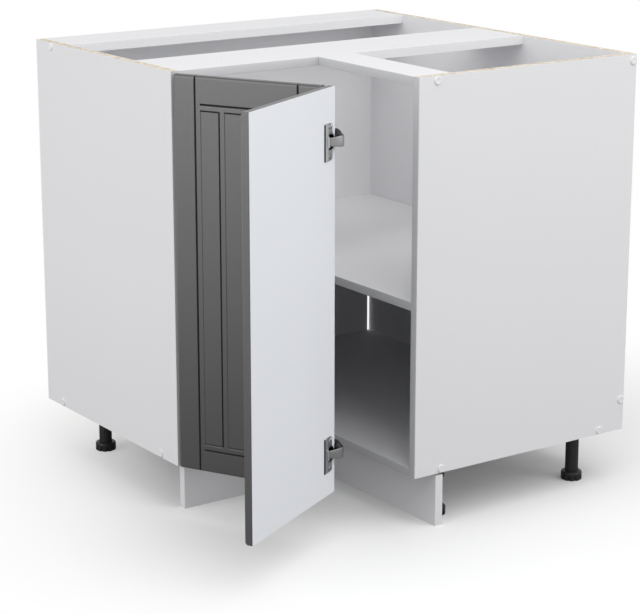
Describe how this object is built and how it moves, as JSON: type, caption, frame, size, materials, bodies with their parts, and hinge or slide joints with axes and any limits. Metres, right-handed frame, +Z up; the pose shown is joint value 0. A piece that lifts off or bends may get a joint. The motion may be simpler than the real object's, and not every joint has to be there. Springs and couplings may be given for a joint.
{
  "type": "corner kitchen base cabinet",
  "caption": "white L-plan corner base cabinet with open top, inner shelf, black levelling legs, plinth boards and a folding pair of dark grey panelled doors standing open",
  "frame": {"origin": "middle of the sole of the foot nearest the room's corner, on the floor", "axes": "+X towards the side wall, +Y towards the back wall, +Z up"},
  "size_m": [0.9216, 0.9096, 0.82],
  "materials": {
    "white_board": "white melamine-faced chipboard, satin",
    "white_hardboard": "white-faced hardboard, satin",
    "white_edging": "white edge band",
    "white_plastic": "smooth white caps",
    "white_foil": "smooth white lining, satin",
    "grey_foil_board": "dark grey matt foil over fibreboard",
    "black_plastic": "black moulded plastic",
    "nickel_steel": "nickel-plated pressed steel",
    "zinc_steel": "zinc-plated steel",
    "beech": "fluted beech, unfinished"
  },
  "bodies": {
    "carcass": {"back_panel": "white_hardboard", "back_panel_nails": "zinc_steel", "back_rail": "white_board", "bottom_panel": "white_board", "connecting_screws": "zinc_steel", "corner_leg_column": "black_plastic", "corner_side_panel": "white_board", "edge_bands": "white_edging", "hinge_plate_screws": "zinc_steel", "left_front_leg_column": "black_plastic", "left_plinth": "white_board", "left_plinth_clip": "black_plastic", "left_rear_leg_column": "black_plastic", "left_side_panel": "white_board", "leg_screws": "zinc_steel", "leg_sockets": "black_plastic", "long_front_rail": "white_board", "lower_door_hinge_arm": "nickel_steel", "lower_door_hinge_plate": "nickel_steel", "rail_dowels": "beech", "right_front_leg_column": "black_plastic", "right_plinth": "white_board", "right_plinth_clip": "black_plastic", "right_rear_leg_column": "black_plastic", "right_side_panel": "white_board", "screw_caps": "white_plastic", "shelf": "white_board", "shelf_pins": "zinc_steel", "short_front_rail": "white_board", "upper_door_hinge_arm": "nickel_steel", "upper_door_hinge_plate": "nickel_steel"},
    "hinge_pins": {"door_hinge_pins": "nickel_steel"},
    "first_door": {"first_door": "grey_foil_board", "first_door_lining": "white_foil", "lower_door_hinge_cup": "nickel_steel", "upper_door_hinge_cup": "nickel_steel", "door_cup_screws": "zinc_steel", "lower_fold_hinge_plate": "nickel_steel", "upper_fold_hinge_plate": "nickel_steel", "lower_fold_hinge_arm": "nickel_steel", "upper_fold_hinge_arm": "nickel_steel", "lower_fold_hinge_cover": "black_plastic", "upper_fold_hinge_cover": "black_plastic", "fold_plate_screws": "zinc_steel"},
    "second_door": {"second_door": "grey_foil_board", "second_door_lining": "white_foil", "lower_fold_hinge_cup": "nickel_steel", "upper_fold_hinge_cup": "nickel_steel", "fold_cup_screws": "zinc_steel", "fold_hinge_pins": "nickel_steel"},
    "corner_foot": {"corner_foot": "black_plastic"},
    "left_rear_foot": {"left_rear_foot": "black_plastic"},
    "left_front_foot": {"left_front_foot": "black_plastic"},
    "right_front_foot": {"right_front_foot": "black_plastic"},
    "right_rear_foot": {"right_rear_foot": "black_plastic"}
  },
  "joints": [
    {"name": "door_swing", "type": "hinge", "parent": "carcass", "child": "hinge_pins", "pos_m": [-0.7218, -0.431, 0.459], "axis": [0, 0, -1], "range_deg": [-62, 8]},
    {"name": "door_unfold", "type": "hinge", "parent": "hinge_pins", "child": "first_door", "pos_m": [-0.7218, -0.431, 0.459], "axis": [0, 0, -1], "range_deg": [0, 35]},
    {"name": "second_door_turn", "type": "hinge", "parent": "first_door", "child": "second_door", "pos_m": [-0.58369, -0.68692, 0.459], "axis": [0, 0, 1], "range_deg": [0, 35]},
    {"name": "corner_foot_level", "type": "slide", "parent": "carcass", "child": "corner_foot", "axis": [0, 0, 1], "range_m": [0, 0.012]},
    {"name": "left_rear_foot_level", "type": "slide", "parent": "carcass", "child": "left_rear_foot", "axis": [0, 0, 1], "range_m": [0, 0.012]},
    {"name": "left_front_foot_level", "type": "slide", "parent": "carcass", "child": "left_front_foot", "axis": [0, 0, 1], "range_m": [0, 0.012]},
    {"name": "right_front_foot_level", "type": "slide", "parent": "carcass", "child": "right_front_foot", "axis": [0, 0, 1], "range_m": [0, 0.012]},
    {"name": "right_rear_foot_level", "type": "slide", "parent": "carcass", "child": "right_rear_foot", "axis": [0, 0, 1], "range_m": [0, 0.012]}
  ],
  "couplings": [
    {"joint": "second_door_turn", "follows": "door_unfold", "ratio": 1}
  ]
}
